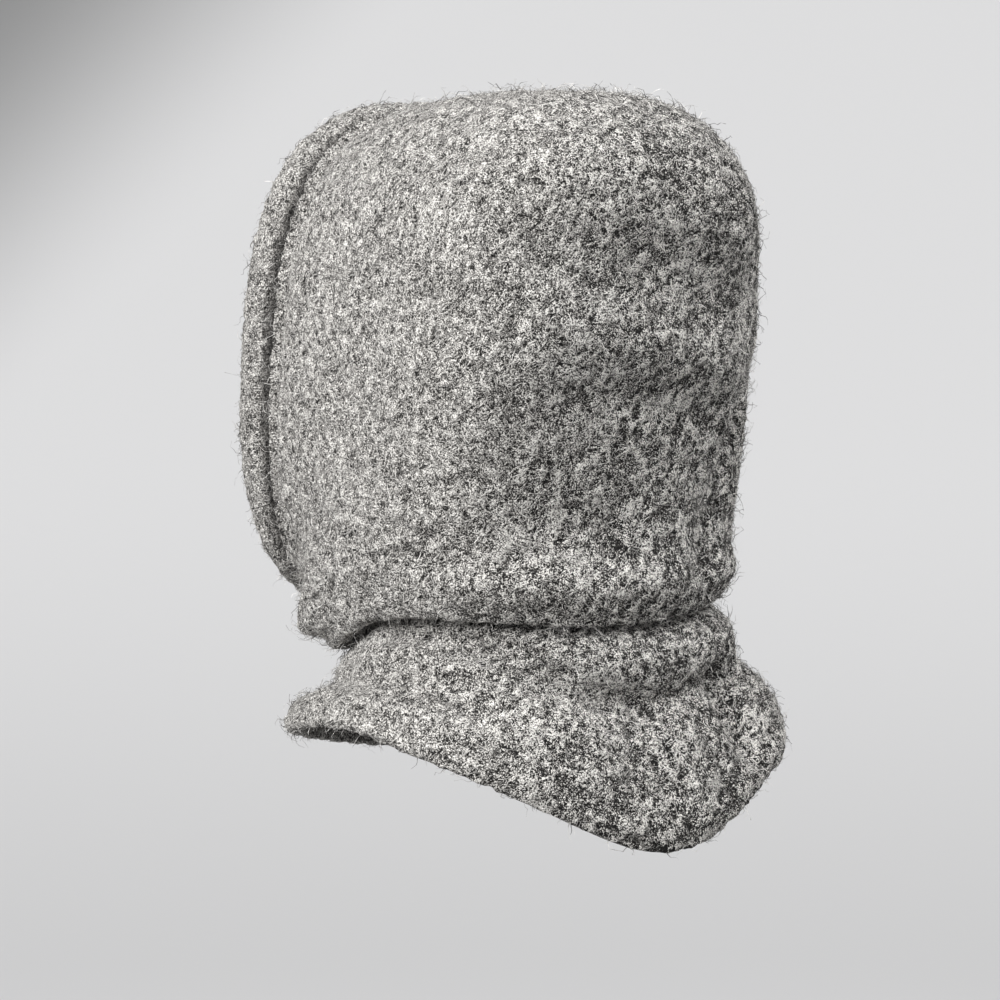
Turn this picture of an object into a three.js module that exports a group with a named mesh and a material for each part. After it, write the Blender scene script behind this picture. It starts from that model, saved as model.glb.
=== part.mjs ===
// Snood hood, held up as a head holds it: a knitted hood, a doubled face band and a gathered neck snood.
// Lengths are in millimetres. +Z is up, the face looks along -Y and the wearer's left is +X.
import * as THREE from "three";

// Sizes of the hood
const hoodWidth = 222;
const hoodReach = 354;
const chinForward = 112;
const chinDrop = 22;
const crownBack = 20;
const knitWall = 4.5;

// Sizes of the neck seam, where hood and snood meet
const neckWidth = 172;
const neckFar = 194;
const neckNear = 38;
const neckTurn = 8.5;
const neckSquare = 2.35;
const seamLift = 13;
const hoodRoll = 14;
const jointGap = 0.3;

// Sizes of the snood
const snoodDrop = 130;
const snoodFlare = 50;
const hemBead = 1.2;

// Sizes of the folds
const hoodFoldDepth = 6;
const hoodFoldReach = 20;
const snoodFoldDepth = 7;
const snoodFoldReach = 10;

// Sizes of the face band and of the lip behind it
const bandWidth = 35;
const bandChin = 22;
const bandEase = 60;
const bandThickness = 12;
const lipLength = 7;
const lipRaise = 5;

// Fineness of the surfaces
const columns = 56;
const hoodBodySteps = 22;
const snoodSteps = 15;
const fineSteps = 20;

// The hood is lofted through loops that lie in planes turned about an axis through the chin, from neck to face.
// far and near are shares of hoodReach, half of half the width, lift of seamLift; back and front square it.
const hoodLoops = [
  { turn: 11.5, far: 0.63, near: 0.022, half: 0.965, back: 2.4, front: 3.2, middle: 0.54, lift: 0.9 },
  { turn: 17, far: 0.624, near: 0.022, half: 0.98, back: 2.45, front: 3.4, middle: 0.53, lift: 0.6 },
  { turn: 26, far: 0.674, near: 0.024, half: 0.995, back: 2.55, front: 3.3, middle: 0.52, lift: 0.25 },
  { turn: 35, far: 0.784, near: 0.028, half: 1, back: 2.65, front: 3, middle: 0.5, lift: 0 },
  { turn: 43, far: 0.924, near: 0.03, half: 1, back: 2.65, front: 2.8, middle: 0.5, lift: 0 },
  { turn: 50, far: 1.016, near: 0.032, half: 1, back: 2.6, front: 2.8, middle: 0.51, lift: 0 },
  { turn: 56, far: 1.012, near: 0.034, half: 0.995, back: 2.6, front: 2.8, middle: 0.53, lift: 0 },
  { turn: 64, far: 0.952, near: 0.034, half: 0.985, back: 2.7, front: 2.8, middle: 0.54, lift: 0 },
  { turn: 72, far: 0.896, near: 0.034, half: 0.97, back: 2.8, front: 2.8, middle: 0.54, lift: 0 },
  { turn: 79, far: 0.858, near: 0.034, half: 0.945, back: 2.75, front: 2.7, middle: 0.52, lift: 0 },
  { turn: 84.5, far: 0.836, near: 0.034, half: 0.91, back: 2.7, front: 2.6, middle: 0.5, lift: 0 },
];

// The foot of the hood rolls over the seam: shares of hoodRoll outward and downward, and more of it at the jaw.
const rollRows = [
  { out: 0, drop: 0, jaw: 0 },
  { out: 0.38, drop: 0, jaw: 0 },
  { out: 0.78, drop: 0.32, jaw: 0.12 },
  { out: 1.2, drop: 0.42, jaw: 0.32 },
  { out: 1.5, drop: 0.05, jaw: 0.3 },
];

// The lip along the rim of the hood: shares of lipLength forward and of lipRaise outward.
const lipRows = [
  { forward: 0.5, raise: 0.8 },
  { forward: 1, raise: -0.6 },
];

// How far the last two loops of the hood draw back where the band is wider than at the chin, as shares of that.
const rimShares = [0.5, 1];

// The snood from the seam to the hem, outward in shares of snoodFlare; lean moves a row to the wearer's right.
const snoodOut = [
  { back: 0, side: 0, front: 0, lean: 0 },
  { back: 0.02, side: 0.02, front: 0.01, lean: 0.01 },
  { back: 0.27, side: 0.18, front: 0.13, lean: 0.08 },
  { back: 0.42, side: 0.31, front: 0.2, lean: 0.13 },
  { back: 0.42, side: 0.37, front: 0.22, lean: 0.13 },
  { back: 0.36, side: 0.4, front: 0.22, lean: 0.12 },
  { back: 0.42, side: 0.5, front: 0.32, lean: 0.08 },
  { back: 0.57, side: 0.7, front: 0.52, lean: 0.03 },
  { back: 0.73, side: 0.85, front: 0.61, lean: 0.06 },
  { back: 0.83, side: 0.92, front: 0.66, lean: 0.1 },
  { back: 0.85, side: 0.92, front: 0.64, lean: 0.12 },
];

// The same rows downward in shares of snoodDrop, and how much of seamLift each keeps.
const snoodDown = [
  { back: 0, side: 0, front: 0, lift: 1 },
  { back: 0.035, side: 0.035, front: 0.045, lift: 1 },
  { back: 0.09, side: 0.075, front: 0.13, lift: 0.9 },
  { back: 0.18, side: 0.12, front: 0.19, lift: 0.7 },
  { back: 0.28, side: 0.15, front: 0.24, lift: 0.5 },
  { back: 0.35, side: 0.185, front: 0.3, lift: 0.3 },
  { back: 0.41, side: 0.21, front: 0.34, lift: 0.1 },
  { back: 0.52, side: 0.24, front: 0.38, lift: 0 },
  { back: 0.68, side: 0.28, front: 0.44, lift: 0 },
  { back: 0.83, side: 0.33, front: 0.5, lift: 0 },
  { back: 0.94, side: 0.37, front: 0.56, lift: 0 },
];

// Section of the doubled band, from its back edge round the full front edge: shares of width and thickness.
const bandSection = [
  { forward: 0, out: -0.44 },
  { forward: 0, out: -0.2 },
  { forward: 0.1, out: -0.3 },
  { forward: 0.2, out: -0.12 },
  { forward: 0.3, out: 0.18 },
  { forward: 0.44, out: 0.46 },
  { forward: 0.62, out: 0.54 },
  { forward: 0.82, out: 0.42 },
  { forward: 0.96, out: 0.14 },
  { forward: 1, out: -0.12 },
  { forward: 0.92, out: -0.36 },
  { forward: 0.7, out: -0.48 },
  { forward: 0.35, out: -0.5 },
];

// Folds: a stretch of the surface pressed in (minus) or raised (plus), fading to both sides. around is the share of
// the loop from the middle of the back by the wearer's left, along runs from the seam; rise is a share of the fold
// depth and reach one of the fold reach.
const hoodFolds = [
  { around: 0.13, along: 0.52, toAround: 0.07, toAlong: 0.49, rise: -0.5, reach: 1.7 },
  { around: 0.07, along: 0.49, toAround: 0.02, toAlong: 0.462, rise: -0.9, reach: 1.35 },
  { around: 0.02, along: 0.462, toAround: -0.08, toAlong: 0.446, rise: -1.4, reach: 1.1 },
  { around: 0.01, along: 0.555, toAround: -0.06, toAlong: 0.53, rise: 0.4, reach: 1 },
  { around: 0.07, along: 0.4, toAround: 0, toAlong: 0.37, rise: 0.7, reach: 0.85 },
  { around: 0, along: 0.37, toAround: -0.06, toAlong: 0.358, rise: 0.6, reach: 0.8 },
  { around: 0.055, along: 0.325, toAround: 0, toAlong: 0.315, rise: -0.35, reach: 0.6 },
  { around: 0, along: 0.315, toAround: -0.06, toAlong: 0.3, rise: -0.4, reach: 0.6 },
  { around: 0.12, along: 0.195, toAround: 0.02, toAlong: 0.185, rise: -0.4, reach: 0.7 },
  { around: -0.115, along: 0.37, toAround: -0.105, toAlong: 0.24, rise: -1.2, reach: 0.65 },
  { around: -0.105, along: 0.24, toAround: -0.078, toAlong: 0.12, rise: -1.1, reach: 0.6 },
  { around: -0.165, along: 0.36, toAround: -0.15, toAlong: 0.14, rise: 0.4, reach: 1.1 },
  { around: 0.19, along: 0.22, toAround: 0.3, toAlong: 0.24, rise: 0.5, reach: 1.1 },
];
const snoodFolds = [
  { around: 0.23, along: 0.15, toAround: 0.147, toAlong: 0.23, rise: -1.3, reach: 0.9 },
  { around: 0.147, along: 0.23, toAround: 0.086, toAlong: 0.37, rise: -1.4, reach: 0.9 },
  { around: 0.086, along: 0.37, toAround: -0.008, toAlong: 0.47, rise: -0.8, reach: 1 },
  { around: -0.008, along: 0.47, toAround: -0.09, toAlong: 0.46, rise: -0.5, reach: 1 },
  { around: 0.25, along: 0.36, toAround: 0.14, toAlong: 0.41, rise: 0.5, reach: 1.1 },
  { around: 0.14, along: 0.41, toAround: 0.05, toAlong: 0.7, rise: 0.5, reach: 1.3 },
  { around: -0.035, along: 0.55, toAround: -0.03, toAlong: 0.9, rise: 0.5, reach: 1.5 },
  { around: -0.1, along: 0.46, toAround: -0.1, toAlong: 0.8, rise: -1.4, reach: 1 },
  { around: -0.155, along: 0.6, toAround: -0.13, toAlong: 1, rise: 0.5, reach: 1.4 },
  { around: 0.41, along: 0.27, toAround: 0.49, toAlong: 0.36, rise: -0.7, reach: 1 },
  { around: 0.49, along: 0.36, toAround: 0.58, toAlong: 0.3, rise: -0.7, reach: 1 },
];

const up = new THREE.Vector3(0, 0, 1);

/** The angle of a column, from the middle of the back by the wearer's left. */
function columnAngle(column) {
  return (column / columns) * 2 * Math.PI;
}

/** How far a column is round to the jaw, from 0 behind the ears to 1 at the chin. */
function jawShare(column) {
  return 0.5 - 0.5 * Math.tanh(4 * (Math.cos(columnAngle(column)) + 0.25));
}

/** How much of the seam's lift a column gets: most of it under the ears, none at the nape and the jaw. */
function liftShare(column) {
  return Math.sin(columnAngle(column)) ** 2 * (1 - jawShare(column));
}

/** A rounded loop in a plane turned about the axis through the chin, lifted under the ears. */
function turnedLoop({ turn, far, near, half, back, front, middle, lift }) {
  const slope = THREE.MathUtils.degToRad(turn);
  const centre = near + middle * (far - near);
  const points = [];
  for (let column = 0; column < columns; column += 1) {
    const cos = Math.cos(columnAngle(column));
    const sin = Math.sin(columnAngle(column));
    const span = cos > 0 ? far - centre : centre - near;
    const share = 0.5 + 0.5 * Math.tanh(2.2 * cos);
    const square = front + (back - front) * share;
    const sum = Math.abs(cos / span) ** square + Math.abs(sin / half) ** square;
    const radius = sum ** (-1 / square);
    const away = centre + radius * cos;
    const y = away * Math.cos(slope) - chinForward;
    const z = away * Math.sin(slope) - chinDrop + lift * seamLift * liftShare(column);
    points.push(new THREE.Vector3(radius * sin, y, z));
  }
  return points;
}

/** The loop of the seam between hood and snood. */
function neckLoop() {
  return turnedLoop({
    turn: neckTurn,
    far: neckFar,
    near: neckNear,
    half: neckWidth / 2,
    back: neckSquare,
    front: neckSquare,
    middle: 0.52,
    lift: 1,
  });
}

/** Level directions that point out of a loop, square to it. */
function levelOutward(loop) {
  return loop.map((point, column) => {
    const after = loop[(column + 1) % columns];
    const before = loop[(column + columns - 1) % columns];
    const run = after.clone().sub(before);
    return new THREE.Vector3(-run.y, run.x, 0).normalize();
  });
}

/** A value that runs smoothly from the back over the side to the front of a loop. */
function threeWay(column, back, side, front) {
  const cos = Math.cos(columnAngle(column));
  const end = cos > 0 ? back : front;
  return side + (end - side) * cos * cos;
}

/** A loop moved outward and down from another one. */
function movedLoop(loop, outward, outAt, dropAt) {
  return loop.map((point, column) => {
    const moved = point.clone().addScaledVector(outward[column], outAt(column));
    return moved.addScaledVector(up, -dropAt(column));
  });
}

/** One point of the centripetal curve through four points, between the middle two. */
function curvePoint(before, start, end, after, share) {
  const first = Math.max(Math.sqrt(start.distanceTo(before)), 1e-4);
  const second = Math.max(Math.sqrt(end.distanceTo(start)), 1e-4);
  const third = Math.max(Math.sqrt(after.distanceTo(end)), 1e-4);
  const chord = end.clone().sub(start);
  const leave = start.clone().sub(before).multiplyScalar(second / first);
  leave.addScaledVector(end.clone().sub(before), -second / (first + second)).add(chord);
  const reach = after.clone().sub(end).multiplyScalar(second / third);
  reach.addScaledVector(after.clone().sub(start), -second / (second + third)).add(chord);
  const square = chord.clone().multiplyScalar(3).addScaledVector(leave, -2).sub(reach);
  const cube = chord.clone().multiplyScalar(-2).add(leave).add(reach);
  const point = start.clone().addScaledVector(leave, share);
  return point.addScaledVector(square, share ** 2).addScaledVector(cube, share ** 3);
}

/** The loop at a place between the rows of a table of loops. */
function loopAt(rows, place) {
  const last = rows.length - 1;
  const index = Math.min(Math.max(Math.floor(place), 0), last - 1);
  return rows[0].map((unused, column) => {
    const start = rows[index][column];
    const end = rows[index + 1][column];
    const before = index > 0 ? rows[index - 1][column] : start.clone().multiplyScalar(2).sub(end);
    const after = index + 1 < last ? rows[index + 2][column] : end.clone().multiplyScalar(2).sub(start);
    return curvePoint(before, start, end, after, place - index);
  });
}

/** How far each fine place of a surface is along it, as the mean over the loop. */
function measure(rows) {
  const places = [];
  const lengths = [];
  let previous = null;
  let length = 0;
  for (let step = 0; step <= fineSteps * (rows.length - 1); step += 1) {
    const place = step / fineSteps;
    const loop = loopAt(rows, place);
    if (previous) {
      const steps = loop.map((point, column) => point.distanceTo(previous[column]));
      const mean = steps.reduce((sum, value) => sum + value, 0) / columns;
      length += 0.5 * mean + 0.5 * Math.max(...steps);
    }
    places.push(place);
    lengths.push(length);
    previous = loop;
  }
  return { places, lengths };
}

/** Reads one list at a value of another, rising list. */
function readOff(values, inputs, input) {
  let index = 1;
  while (index < inputs.length - 1 && inputs[index] < input) {
    index += 1;
  }
  const share = (input - inputs[index - 1]) / (inputs[index] - inputs[index - 1]);
  return values[index - 1] + Math.min(Math.max(share, 0), 1) * (values[index] - values[index - 1]);
}

/** Places between two rows with about the same distance between them. */
function evenPlaces(rows, from, steps) {
  const { places, lengths } = measure(rows);
  const start = readOff(lengths, places, from);
  const end = lengths[lengths.length - 1];
  return Array.from({ length: steps + 1 }, (unused, step) => {
    return readOff(places, lengths, start + ((end - start) * step) / steps);
  });
}

/** How much wider than at the chin the band is ahead of a point at the rim. */
function bandExtra(point) {
  const away = Math.hypot(point.y + chinForward, point.z + chinDrop);
  return (bandWidth - bandChin) * (1 - Math.exp(-((away / bandEase) ** 2)));
}

/** Outward directions of a grid of loops; turned is -1 where the loops run up, 1 where they run down. */
function gridNormals(grid, turned) {
  return grid.map((loop, row) => {
    const above = grid[Math.min(row + 1, grid.length - 1)];
    const below = grid[Math.max(row - 1, 0)];
    return loop.map((point, column) => {
      const around = loop[(column + 1) % columns].clone().sub(loop[(column + columns - 1) % columns]);
      const along = above[column].clone().sub(below[column]);
      return around.cross(along).multiplyScalar(turned).normalize();
    });
  });
}

/** The same directions, evened out between neighbours. */
function evenedNormals(normals, rounds) {
  let current = normals;
  for (let round = 0; round < rounds; round += 1) {
    const last = current;
    current = last.map((loop, row) => {
      const above = last[Math.min(row + 1, last.length - 1)];
      const below = last[Math.max(row - 1, 0)];
      return loop.map((normal, column) => {
        const sum = normal.clone().multiplyScalar(2);
        sum.add(loop[(column + 1) % columns]).add(loop[(column + columns - 1) % columns]);
        return sum.add(above[column]).add(below[column]).normalize();
      });
    });
  }
  return current;
}

/** The point of a surface at a share around its loop and a share along it. */
function surfacePoint(rows, around, along) {
  const { places, lengths } = measure(rows);
  const loop = loopAt(rows, readOff(places, lengths, along * lengths[lengths.length - 1]));
  const column = (((around % 1) + 1) % 1) * columns;
  const start = loop[Math.floor(column) % columns];
  const end = loop[(Math.floor(column) + 1) % columns];
  return start.clone().lerp(end, column - Math.floor(column));
}

/** Presses folds into a grid or raises them, along its normals; eased rows at the seam grow into them. */
function foldGrid(grid, normals, rows, folds, depth, reach, eased) {
  const lines = folds.map((fold) => {
    const start = surfacePoint(rows, fold.around, fold.along);
    const end = surfacePoint(rows, fold.toAround, fold.toAlong);
    return { line: new THREE.Line3(start, end), rise: fold.rise * depth, reach: fold.reach * reach };
  });
  const nearest = new THREE.Vector3();
  return grid.map((loop, row) => loop.map((point, column) => {
    const share = Math.min(Math.max(row - 1, 0) / eased, 1);
    let raised = 0;
    let pressed = 0;
    for (const fold of lines) {
      fold.line.closestPointToPoint(point, true, nearest);
      const rise = share * fold.rise * Math.exp(-((point.distanceTo(nearest) / fold.reach) ** 2));
      raised = Math.max(raised, rise);
      pressed = Math.min(pressed, rise);
    }
    return point.clone().addScaledVector(normals[row][column], raised + pressed);
  }));
}

/** A grid moved along its normals by one distance. */
function movedGrid(grid, normals, distance) {
  return grid.map((loop, row) => loop.map((point, column) => {
    return point.clone().addScaledVector(normals[row][column], distance);
  }));
}

/** The closed surface between loops, the last of which joins the first again; flip turns the faces over. */
function ringGeometry(loops, flip) {
  const positions = [];
  const indices = [];
  for (const loop of loops) {
    for (const point of loop) {
      positions.push(point.x, point.y, point.z);
    }
  }
  for (let row = 0; row < loops.length; row += 1) {
    const next = ((row + 1) % loops.length) * columns;
    for (let column = 0; column < columns; column += 1) {
      const after = (column + 1) % columns;
      const corners = [row * columns + column, row * columns + after, next + after, next + column];
      if (flip) {
        corners.reverse();
      }
      indices.push(corners[0], corners[1], corners[2], corners[0], corners[2], corners[3]);
    }
  }
  const geometry = new THREE.BufferGeometry();
  geometry.setAttribute("position", new THREE.Float32BufferAttribute(positions, 3));
  geometry.setIndex(indices);
  geometry.computeVertexNormals();
  return geometry;
}

/** The hood: outer and inner loops, and the loops of its rim for the band. */
function buildHood() {
  const seam = neckLoop();
  const outward = levelOutward(seam);
  const rows = rollRows.map(({ out, drop, jaw }) => {
    const dropAt = (column) => hoodRoll * (drop + jaw * jawShare(column));
    return movedLoop(seam, outward, () => out * hoodRoll, dropAt);
  });
  for (const loop of hoodLoops) {
    rows.push(turnedLoop({
      ...loop,
      far: loop.far * hoodReach,
      near: loop.near * hoodReach,
      half: (loop.half * hoodWidth) / 2,
    }));
  }
  const rimSlope = THREE.MathUtils.degToRad(hoodLoops[hoodLoops.length - 1].turn);
  const forward = new THREE.Vector3(0, -Math.sin(rimSlope), Math.cos(rimSlope));
  rimShares.forEach((share, step) => {
    const row = rows.length - rimShares.length + step;
    rows[row] = rows[row].map((point) => point.clone().addScaledVector(forward, -share * bandExtra(point)));
  });
  const rollEnd = rollRows.length - 1;
  const rollPlaces = [0, 1, 1.5, 2, 2.5, 3, 3.5];
  const places = rollPlaces.concat(evenPlaces(rows, rollEnd, hoodBodySteps));
  const smooth = places.map((place) => loopAt(rows, place));
  const rim = smooth[smooth.length - 1];
  for (const lip of lipRows) {
    smooth.push(rim.map((point) => point.clone().addScaledVector(forward, lip.forward * lipLength)));
  }
  const faces = gridNormals(smooth, -1);
  const folded = foldGrid(smooth, faces, rows, hoodFolds, hoodFoldDepth, hoodFoldReach, 5);
  const normals = evenedNormals(gridNormals(folded, -1), 2);
  const inner = movedGrid(folded, normals, -knitWall);
  const outer = folded.map((loop, row) => {
    const lip = lipRows[row - (folded.length - lipRows.length)];
    const raise = lip ? lip.raise * lipRaise : 0;
    return loop.map((point, column) => point.clone().addScaledVector(normals[row][column], raise));
  });
  const last = folded.length - 1;
  return { outer, inner, forward, rimNormals: normals[last], rimOuter: folded[last] };
}

/** The snood: outer and inner loops from the seam to the hem. */
function buildSnood() {
  const seam = neckLoop();
  const outward = levelOutward(seam);
  const rows = snoodOut.map((out, row) => {
    const down = snoodDown[row];
    const outAt = (column) => knitWall + snoodFlare * threeWay(column, out.back, out.side, out.front);
    const dropAt = (column) => {
      const lost = (1 - down.lift) * seamLift * liftShare(column);
      return jointGap + lost + snoodDrop * threeWay(column, down.back, down.side, down.front);
    };
    const loop = movedLoop(seam, outward, outAt, dropAt);
    return loop.map((point) => point.setX(point.x - out.lean * snoodFlare));
  });
  const smooth = evenPlaces(rows, 0, snoodSteps).map((place) => loopAt(rows, place));
  const faces = gridNormals(smooth, 1);
  const folded = foldGrid(smooth, faces, rows, snoodFolds, snoodFoldDepth, snoodFoldReach, 2);
  const normals = gridNormals(folded, 1);
  const inner = movedGrid(folded, evenedNormals(normals, 1), -knitWall);
  const hem = folded.length - 2;
  const outer = folded.map((loop, row) => {
    const raise = row === hem ? hemBead : 0;
    return loop.map((point, column) => point.clone().addScaledVector(normals[row][column], raise));
  });
  return { outer, inner };
}

/** The doubled band, swept round the rim of the hood just ahead of its lip. */
function buildBand({ forward, rimNormals, rimOuter }) {
  return bandSection.map((corner) => rimOuter.map((point, column) => {
    const outward = rimNormals[column].clone();
    outward.addScaledVector(forward, -outward.dot(forward)).normalize();
    const out = corner.out * bandThickness - knitWall / 2;
    const ahead = jointGap + corner.forward * (bandChin + bandExtra(point));
    return point.clone().addScaledVector(outward, out).addScaledVector(forward, ahead);
  }));
}

/** The seat under the crown, as high as the inside of the hood, where the head carries it. */
function seatPoint(inner) {
  const heights = inner.flatMap((loop) => loop.map((point) => point.z));
  return new THREE.Vector3(0, crownBack, Math.max(...heights));
}

/** A named solid, moved so that the seat is the origin. */
function solid(name, geometry, seat, colour) {
  geometry.translate(0, -seat.y, -seat.z);
  const material = new THREE.MeshStandardMaterial({ color: colour, roughness: 0.95, metalness: 0 });
  const mesh = new THREE.Mesh(geometry, material);
  mesh.name = name;
  return mesh;
}

const hood = buildHood();
const snood = buildSnood();
const seat = seatPoint(hood.inner);
const hoodGeometry = ringGeometry(hood.outer.concat([...hood.inner].reverse()), true);
const snoodGeometry = ringGeometry(snood.outer.concat([...snood.inner].reverse()), false);
const bandGeometry = ringGeometry(buildBand(hood), true);

const part = new THREE.Group();
part.name = "snood_hood";
part.add(solid("hood", hoodGeometry, seat, "#85827e"));
part.add(solid("face_band", bandGeometry, seat, "#918e89"));
part.add(solid("neck_snood", snoodGeometry, seat, "#8a8782"));

export default part;
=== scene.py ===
"""A snood hood in brushed grey melange knit: its worn shape, its relief, its pile, and a pale studio round it."""

import logging
import math
from dataclasses import dataclass, field
from enum import Enum
from typing import Any, Sequence

import bpy
import numpy as np
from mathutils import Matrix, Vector

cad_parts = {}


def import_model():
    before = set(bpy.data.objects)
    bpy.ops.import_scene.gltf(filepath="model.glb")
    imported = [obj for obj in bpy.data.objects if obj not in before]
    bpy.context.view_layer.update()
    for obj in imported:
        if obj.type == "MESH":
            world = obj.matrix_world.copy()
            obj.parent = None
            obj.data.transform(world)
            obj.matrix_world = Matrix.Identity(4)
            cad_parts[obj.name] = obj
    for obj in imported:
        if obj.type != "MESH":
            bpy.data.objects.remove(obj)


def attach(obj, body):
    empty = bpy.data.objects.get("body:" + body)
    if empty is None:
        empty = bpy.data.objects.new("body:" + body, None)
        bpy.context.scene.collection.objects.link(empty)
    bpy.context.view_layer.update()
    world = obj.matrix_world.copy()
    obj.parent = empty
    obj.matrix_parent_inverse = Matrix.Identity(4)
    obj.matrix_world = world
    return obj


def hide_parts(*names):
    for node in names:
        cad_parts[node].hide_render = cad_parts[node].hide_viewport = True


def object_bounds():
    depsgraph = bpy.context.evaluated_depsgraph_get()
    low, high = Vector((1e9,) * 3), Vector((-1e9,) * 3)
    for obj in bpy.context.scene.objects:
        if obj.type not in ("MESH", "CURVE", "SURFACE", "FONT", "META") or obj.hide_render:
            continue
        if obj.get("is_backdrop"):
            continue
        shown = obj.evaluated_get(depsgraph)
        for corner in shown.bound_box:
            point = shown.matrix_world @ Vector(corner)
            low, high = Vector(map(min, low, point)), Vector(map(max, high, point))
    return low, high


LOG = logging.getLogger("snood_hood")
MM = 0.001
# The knit's colour is painted darker and more contrasty this way, towards the side away from the window and door
# lamps: painted shade and painted grazing light.
PAINTED_SHADE_WAY = (-0.76, 0.54, -0.22)


# The tables of the worn shape, in shares of the sizes in WornShape


@dataclass(frozen=True)
class HoodLoop:
    """One loop of the hood, in a plane turned about an axis through the chin."""

    turn: float
    far: float
    near: float
    half: float
    back: float
    front: float
    middle: float
    lift: float


@dataclass(frozen=True)
class RollRow:
    """One row of the rolled foot of the hood."""

    out: float
    drop: float
    jaw: float


@dataclass(frozen=True)
class LipRow:
    """One row of the lip ahead of the hood's rim: how far ahead it is, how raised, and how deep in the groove, which
    sets its painted shade.
    """

    ahead: float
    rise: float
    shade: float


@dataclass(frozen=True)
class SnoodRow:
    """One row of the snood: how far out, how far down, its lean and how much of the seam's lift it keeps."""

    out_back: float
    out_side: float
    out_front: float
    lean: float
    down_back: float
    down_side: float
    down_front: float
    lift: float


@dataclass(frozen=True)
class Fold:
    """A stretch of a surface that is pressed in (minus) or raised (plus), from one place on it to another."""

    around: float
    along: float
    to_around: float
    to_along: float
    rise: float
    reach: float


HOOD_LOOPS = (
    HoodLoop(11.5, 0.63, 0.022, 0.965, 2.4, 3.2, 0.54, 0.9),
    HoodLoop(17, 0.624, 0.022, 0.98, 2.45, 3.4, 0.53, 0.6),
    HoodLoop(26, 0.674, 0.024, 0.995, 2.55, 3.3, 0.52, 0.25),
    HoodLoop(35, 0.784, 0.028, 1, 2.65, 3, 0.5, 0),
    HoodLoop(43, 0.924, 0.03, 1, 2.65, 2.8, 0.5, 0),
    HoodLoop(50, 1.016, 0.032, 1, 2.6, 2.8, 0.51, 0),
    HoodLoop(56, 1.012, 0.034, 0.995, 2.6, 2.8, 0.53, 0),
    HoodLoop(64, 0.952, 0.034, 0.985, 2.7, 2.8, 0.54, 0),
    HoodLoop(72, 0.896, 0.034, 0.97, 2.8, 2.8, 0.54, 0),
    HoodLoop(79, 0.858, 0.034, 0.945, 2.75, 2.7, 0.52, 0),
    HoodLoop(84.5, 0.836, 0.034, 0.91, 2.7, 2.6, 0.5, 0),
)
ROLL_ROWS = (
    RollRow(0, 0, 0),
    RollRow(0.38, 0, 0),
    RollRow(0.78, 0.32, 0.12),
    RollRow(1.2, 0.42, 0.32),
    RollRow(1.5, 0.05, 0.3),
)
LIP_ROWS = (LipRow(0.2, 0.4, 0), LipRow(0.5, 0.8, 0.15), LipRow(0.8, 0.45, 0.6), LipRow(1.0, -0.6, 1.0))
RIM_SHARES = (0.5, 1.0)  # how far the last two loops of the hood are set back for the band
GROOVE_BARE = 0.9  # how much of the pile is missing in the groove behind the band
SNOOD_ROWS = (
    SnoodRow(0, 0, 0, 0, 0, 0, 0, 1),
    SnoodRow(0.02, 0.02, 0.01, 0.01, 0.035, 0.035, 0.045, 1),
    SnoodRow(0.27, 0.18, 0.13, 0.08, 0.09, 0.075, 0.13, 0.9),
    SnoodRow(0.42, 0.31, 0.2, 0.13, 0.18, 0.12, 0.19, 0.7),
    SnoodRow(0.42, 0.37, 0.22, 0.13, 0.28, 0.15, 0.24, 0.5),
    SnoodRow(0.36, 0.4, 0.22, 0.12, 0.35, 0.185, 0.3, 0.3),
    SnoodRow(0.42, 0.5, 0.32, 0.08, 0.41, 0.21, 0.34, 0.1),
    SnoodRow(0.57, 0.7, 0.52, 0.03, 0.52, 0.24, 0.38, 0),
    SnoodRow(0.73, 0.85, 0.61, 0.06, 0.68, 0.28, 0.44, 0),
    SnoodRow(0.83, 0.92, 0.66, 0.1, 0.83, 0.33, 0.5, 0),
    SnoodRow(0.85, 0.92, 0.64, 0.12, 0.94, 0.37, 0.56, 0),
)
BAND_SECTION = (  # corners, as shares of the band's width forward and of its thickness outward
    (0, -0.44), (0, -0.2), (0.1, -0.3), (0.2, -0.12), (0.3, 0.18), (0.44, 0.46), (0.62, 0.54),
    (0.82, 0.42), (0.96, 0.14), (1, -0.12), (0.92, -0.36), (0.7, -0.48), (0.35, -0.5),
)
HOOD_FOLDS = (
    Fold(0.13, 0.52, 0.07, 0.49, -0.5, 1.7),
    Fold(0.07, 0.49, 0.02, 0.462, -0.9, 1.35),
    Fold(0.02, 0.462, -0.08, 0.446, -1.4, 1.1),
    Fold(0.01, 0.555, -0.06, 0.53, 0.4, 1),
    Fold(0.07, 0.4, 0, 0.37, 0.7, 0.85),
    Fold(0, 0.37, -0.06, 0.358, 0.6, 0.8),
    Fold(0.055, 0.325, 0, 0.315, -0.35, 0.6),
    Fold(0, 0.315, -0.06, 0.3, -0.4, 0.6),
    Fold(0.12, 0.195, 0.02, 0.185, -0.4, 0.7),
    Fold(-0.115, 0.37, -0.105, 0.24, -1.2, 0.65),
    Fold(-0.105, 0.24, -0.078, 0.12, -1.1, 0.6),
    Fold(-0.165, 0.36, -0.15, 0.14, 0.4, 1.1),
    Fold(0.19, 0.22, 0.3, 0.24, 0.5, 1.1),
)
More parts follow.
